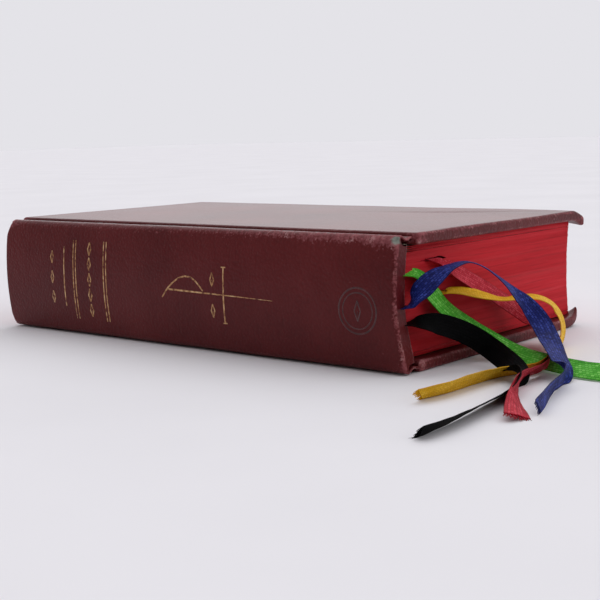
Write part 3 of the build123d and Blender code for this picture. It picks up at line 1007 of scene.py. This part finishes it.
# ---------------- tooling on the spine
# Its points are (along the spine from the middle towards the head, above the table), in
# millimetres. Plain rules and lozenges fill the places of lettering.


def on_spine(y, z, proud):
    """The place on the outside of the spine leather, a little proud of it."""
    turn = math.pi - math.asin((z - MIDDLE) / SPINE_RADIUS)
    x, z = on_circle((SPINE_CENTRE, MIDDLE), SPINE_RADIUS + spine_lift(y, z) + proud, turn)
    return x, y, z


def fine_steps(points, step):
    """The same line with points no further apart than step."""
    line = [points[0]]
    for a, b in zip(points, points[1:]):
        count = max(1, int(math.dist(a, b) / step))
        for k in range(1, count + 1):
            line.append(between(a, b, k / count))
    return line


def stroke(points, wide, shape, taper=0.0):
    """Add one tooled line, thin and closed, to a shape: its points and its faces."""
    verts, faces = shape
    line = fine_steps(points, 0.6)
    first = len(verts)
    for i, (y, z) in enumerate(line):
        a, b = line[max(i - 1, 0)], line[min(i + 1, len(line) - 1)]
        length = math.dist(a, b)
        side_y, side_z = -(b[1] - a[1]) / length, (b[0] - a[0]) / length
        half = wide / 2 * (1 - taper * i / (len(line) - 1))
        for across, proud in ((-1, 0.0), (-0.8, 0.05), (0.8, 0.05), (1, 0.0)):
            verts.append(on_spine(y + side_y * half * across, z + side_z * half * across, proud))
    faces += grid_faces(len(line), 4, first, closed=True)
    end = first + 4 * (len(line) - 1)
    faces += [(first + 3, first + 2, first + 1, first), (end, end + 1, end + 2, end + 3)]


def lozenge(y, z, reach, shape):
    """Add one small tooled lozenge."""
    stroke([(y, z - reach), (y, z)], reach * 0.05, shape)
    for out in (-reach * 0.36, reach * 0.36):
        half = [(y, z - reach), (y + out, z - reach * 0.05), (y + out, z), (y, z + reach)]
        stroke(half, 0.42, shape)


def ring(centre, radius, steps, wide, shape):
    """Add one tooled circle."""
    stroke([on_circle(centre, radius, math.radians(360 * k / steps)) for k in range(steps + 1)],
           wide, shape)


def tooling():
    """The gold rules, lozenges and staff, and a blind ring near the tail."""
    shape = [], []
    stroke([(3.0, 17.9), (-26.0, 17.4), (-38.9, 17.1)], 0.62, shape, taper=0.75)
    bow = [(5.4, 15.3), (4.4, 16.6), (2.8, 18.3), (0.6, 20.1), (-1.8, 21.5), (-4.4, 22.2),
           (-6.8, 22.0), (-8.9, 21.0), (-10.6, 19.5), (-11.9, 18.2)]
    stroke(bow, 0.5, shape)
    stroke([(-20.1, 25.6), (-20.1, 9.2)], 0.55, shape)
    for z in (25.6, 9.2):
        stroke([(-21.0, z), (-19.2, z)], 0.4, shape)
    for z in (12.6, 21.8):
        lozenge(-15.6, z, 2.0, shape)
    stroke([(51.2, 28.9), (51.2, 9.3)], 0.5, shape)
    for y in (46.6, 45.4, 32.0, 30.8):
        stroke([(y, 31.0), (y, 5.4)], 0.42, shape)
    for z in (8.6, 13.6, 18.6, 23.6, 28.4):
        lozenge(38.8, z, 2.1, shape)
    for z in (12.0, 18.6, 25.2):
        lozenge(57.2, z, 2.0, shape)
    mesh_piece("spine_gold_tooling", *shape, GOLD, "text_block")
    shape = [], []
    seal = (-68.6, 16.5)
    ring(seal, 6.2, 40, 0.5, shape)
    ring(seal, 4.9, 36, 0.35, shape)
    lozenge(*seal, 2.8, shape)
    mesh_piece("spine_blind_tooling", *shape, BLIND, "text_block")


tooling()

# ---------------- pieces kept from the frame


def dress_frame_nodes():
    """Give each CAD piece that stays in sight its own material."""
    wanted = {"sewing_tape": TAPE, "spine_cloth": MULL, "spine_lining": ENDPAPER,
              "front_cover_lining": ENDPAPER, "back_cover_lining": ENDPAPER}
    for colour, cloth in RIBBON_CLOTH.items():
        wanted["ribbon_strip_" + colour] = cloth
    for name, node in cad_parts.items():
        for start, material in wanted.items():
            if name.startswith(start):
                for slot in node.material_slots:
                    slot.material = material


dress_frame_nodes()

# ---------------- floor and light


def studio():
    """A wide pale floor, a pale room that is dimmer in front, and three broad soft lights."""
    reach, floor_z = 6000.0, -0.03
    corners = [(x * reach, y * reach, floor_z) for x, y in ((-1, -1), (1, -1), (1, 1), (-1, 1))]
    floor = mesh_piece("floor", corners, [(0, 1, 2, 3)], backdrop_paper(), None)
    world = bpy.data.worlds.new("studio")
    bpy.context.scene.world = world
    world.use_nodes = True
    add = partial(add_node, world.node_tree)
    way = add("TexCoord", out="Generated")
    front = add("VectorMath", {0: way, 1: (0.80, 0.22, 0.56)}, "Value", operation="DOT_PRODUCT")
    share = add("MapRange", {"Value": front, "From Min": -0.9, "From Max": 0.9})
    tone = add("ValToRGB", {"Fac": share},
               stops=[(0.15, "#7A7677"), (0.5, "#BAB7B9"), (0.78, "#E4E3E8")])
    background = world.node_tree.nodes["Background"]
    world.node_tree.links.new(tone, background.inputs["Color"])
    background.inputs["Strength"].default_value = 1.0
    for name, place, spread, power in (("top", (0.35, 0.25, 1.0), 70, 0.75),
                                       ("side", (0.3, -1.0, 0.6), 50, 0.45),
                                       ("behind", (0.76, 0.63, 0.42), 45, 0.38)):
        data = bpy.data.lights.new(name, "SUN")
        data.angle = math.radians(spread)
        data.energy = power
        lamp = bpy.data.objects.new(name, data)
        bpy.context.scene.collection.objects.link(lamp)
        lamp.location = place
        lamp.rotation_mode = "QUATERNION"
        lamp.rotation_quaternion = (-Vector(place)).to_track_quat("-Z", "Y")
    bpy.context.scene.view_settings.view_transform = "Standard"


studio()
